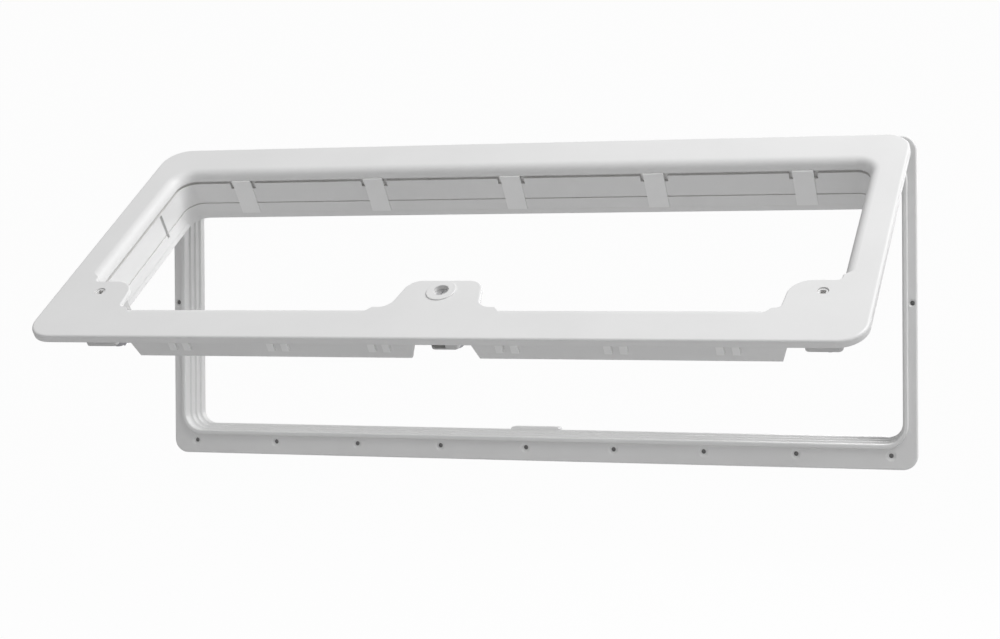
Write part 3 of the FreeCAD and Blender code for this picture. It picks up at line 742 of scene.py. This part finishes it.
def add_room(stage):
    """White room that gives soft light and is plain white to the camera."""
    world = bpy.data.worlds.new("White room")
    world.use_nodes = True
    sheet = NodeSheet(world.node_tree)
    sky = world.node_tree.nodes["Background"]
    seen = sheet.add("ShaderNodeLightPath").outputs["Is Camera Ray"]
    sheet.feed(sky.inputs["Color"], WHITE)
    sheet.feed(sky.inputs["Strength"], sheet.spread(seen, 0.0, 1.0, stage.sky, stage.room_white))
    bpy.context.scene.world = world


def backdrop_paper(stage):
    """Grey paper in the light that it throws back, and nearly plain white to the camera."""
    material, sheet, shader = new_material("Backdrop paper")
    paper = sheet.noise(sheet.place(), 3.0)
    sheet.feed(shader.inputs["Base Color"], sheet.blend(paper, *PAPER_SHADES))
    sheet.feed(shader.inputs["Roughness"], 0.9)
    lit = sheet.add("ShaderNodeEmission", {"Color": WHITE, "Strength": 1.0})
    seen = sheet.add("ShaderNodeLightPath").outputs["Is Camera Ray"]
    share = sheet.math("MULTIPLY", seen, stage.paper_white)
    mixed = sheet.add("ShaderNodeMixShader", {0: share, 1: shader.outputs[0], 2: lit.outputs[0]})
    sheet.feed(sheet.tree.nodes["Material Output"].inputs["Surface"], mixed.outputs[0])
    return material


def add_backdrop(stage):
    """Pale floor that sweeps up into a back wall."""
    floor_z = CAD_BOX[0][2] - stage.floor_drop
    half_w = 9.0
    near = -9.0
    bend = 4.0
    bend_r = 2.5
    bend_steps = 16
    wall_height = 6.0
    line = [(near, floor_z)]
    for step in range(bend_steps + 1):
        turn = QUARTER_TURN * step / bend_steps
        line.append((bend + bend_r * math.sin(turn), floor_z + bend_r * (1 - math.cos(turn))))
    line.append((bend + bend_r, floor_z + wall_height))
    mesh = bmesh.new()
    rows = [ring(mesh, [(-half_w, y, z), (half_w, y, z)]) for y, z in line]
    for low, high in zip(rows, rows[1:]):
        mesh.faces.new((low[0], low[1], high[1], high[0])).smooth = True
    data = bpy.data.meshes.new("Backdrop")
    mesh.to_mesh(data)
    mesh.free()
    data.materials.append(backdrop_paper(stage))
    backdrop = bpy.data.objects.new("Backdrop", data)
    bpy.context.scene.collection.objects.link(backdrop)


# Operators and panel

class SERVICEDOOR_OT_wall_frame(Operator):
    """Finish the wall frame and its strike in white moulded plastic."""

    bl_idname = "service_door.wall_frame"
    bl_label = "Wall frame"

    def execute(self, context):
        finish_nodes(["wall_frame", "strike"], white_moulding())
        return {"FINISHED"}


class SERVICEDOOR_OT_sealing_strip(Operator):
    """Lay the foam sealing strip behind the wall frame's flange."""

    bl_idname = "service_door.sealing_strip"
    bl_label = "Sealing strip"

    def execute(self, context):
        add_sealing_strip()
        return {"FINISHED"}


class SERVICEDOOR_OT_leaf(Operator):
    """Finish the door leaf in white moulded plastic."""

    bl_idname = "service_door.leaf"
    bl_label = "Door leaf"

    def execute(self, context):
        finish_nodes(["door_frame"], white_moulding())
        return {"FINISHED"}


class SERVICEDOOR_OT_hinge(Operator):
    """Finish the hinge pins in drawn steel."""

    bl_idname = "service_door.hinge"
    bl_label = "Hinge pins"

    def execute(self, context):
        finish_nodes([name for name in BODIES["wall_frame"] if name.startswith("hinge_pin")], drawn_steel())
        return {"FINISHED"}


class SERVICEDOOR_OT_clips(Operator):
    """Finish the panel clips in matt nylon."""

    bl_idname = "service_door.clips"
    bl_label = "Panel clips"

    def execute(self, context):
        finish_nodes([name for name in BODIES["door"] if name.startswith("panel_clip")], clip_nylon())
        return {"FINISHED"}


class SERVICEDOOR_OT_lock(Operator):
    """Finish the centre lock."""

    bl_idname = "service_door.lock"
    bl_label = "Centre lock"

    def execute(self, context):
        finish_nodes(["lock_housing"], housing_plastic())
        finish_nodes(["lock_bezel"], white_moulding())
        finish_nodes(["lock_barrel"], lock_plating())
        finish_nodes(["lock_cam"], cast_zinc())
        return {"FINISHED"}


class SERVICEDOOR_OT_latches(Operator):
    """Finish the two corner latches."""

    bl_idname = "service_door.latches"
    bl_label = "Corner latches"

    def execute(self, context):
        for side in ("left", "right"):
            finish_nodes([f"latch_housing_{side}"], housing_plastic())
            finish_nodes([f"latch_spindle_{side}"], white_moulding())
            finish_nodes([f"latch_cam_{side}"], cast_zinc())
        return {"FINISHED"}


class SERVICEDOOR_OT_housing_screws(Operator):
    """Screw the latch housings to the leaf."""

    bl_idname = "service_door.housing_screws"
    bl_label = "Housing screws"

    def execute(self, context):
        for body in LATCHES:
            add_housing_screws(body)
        return {"FINISHED"}


class SERVICEDOOR_OT_cam_rings(Operator):
    """Snap a spring ring on each spindle, behind its cam."""

    bl_idname = "service_door.cam_rings"
    bl_label = "Cam rings"

    def execute(self, context):
        for body in LATCHES:
            add_cam_ring(body)
        return {"FINISHED"}


class SERVICEDOOR_OT_stage(Operator):
    """Set up the pale floor, the soft light and the camera."""

    bl_idname = "service_door.stage"
    bl_label = "Stage"

    def execute(self, context):
        stage = settings().stage
        add_room(stage)
        add_softbox("Key light", stage.key, stage.key_place, stage.key_size)
        add_softbox("Back light", stage.back, stage.back_place, stage.back_size)
        add_backdrop(stage)
        add_camera(stage)
        context.scene.view_settings.view_transform = "Standard"
        return {"FINISHED"}


OPERATORS = (
    SERVICEDOOR_OT_wall_frame, SERVICEDOOR_OT_sealing_strip, SERVICEDOOR_OT_leaf, SERVICEDOOR_OT_hinge,
    SERVICEDOOR_OT_clips, SERVICEDOOR_OT_lock, SERVICEDOOR_OT_latches, SERVICEDOOR_OT_housing_screws,
    SERVICEDOOR_OT_cam_rings, SERVICEDOOR_OT_stage)


class SERVICEDOOR_PT_pieces(Panel):
    """Lists the pieces of the service door and their settings."""

    bl_idname = "SERVICEDOOR_PT_pieces"
    bl_label = "Service door"
    bl_space_type = "VIEW_3D"
    bl_region_type = "UI"
    bl_category = "Service door"

    def draw(self, context):
        for operator in OPERATORS:
            self.layout.operator(operator.bl_idname)
        for group in (settings().finish, settings().fixings, settings().stage):
            box = self.layout.box()
            for name in type(group).__annotations__:
                box.prop(group, name)


GROUPS = (ServiceDoorFinish, ServiceDoorFixings, ServiceDoorStage, ServiceDoorSettings)
CLASSES = GROUPS + OPERATORS + (SERVICEDOOR_PT_pieces,)


def register():
    for cls in CLASSES:
        bpy.utils.register_class(cls)
    bpy.types.Scene.service_door = PointerProperty(type=ServiceDoorSettings)


def unregister():
    del bpy.types.Scene.service_door
    for cls in reversed(CLASSES):
        bpy.utils.unregister_class(cls)


def main():
    register()
    bpy.ops.service_door.wall_frame()
    bpy.ops.service_door.sealing_strip()
    bpy.ops.service_door.leaf()
    bpy.ops.service_door.hinge()
    bpy.ops.service_door.clips()
    bpy.ops.service_door.lock()
    bpy.ops.service_door.latches()
    bpy.ops.service_door.housing_screws()
    bpy.ops.service_door.cam_rings()
    bpy.ops.service_door.stage()


if __name__ == "__main__":
    main()
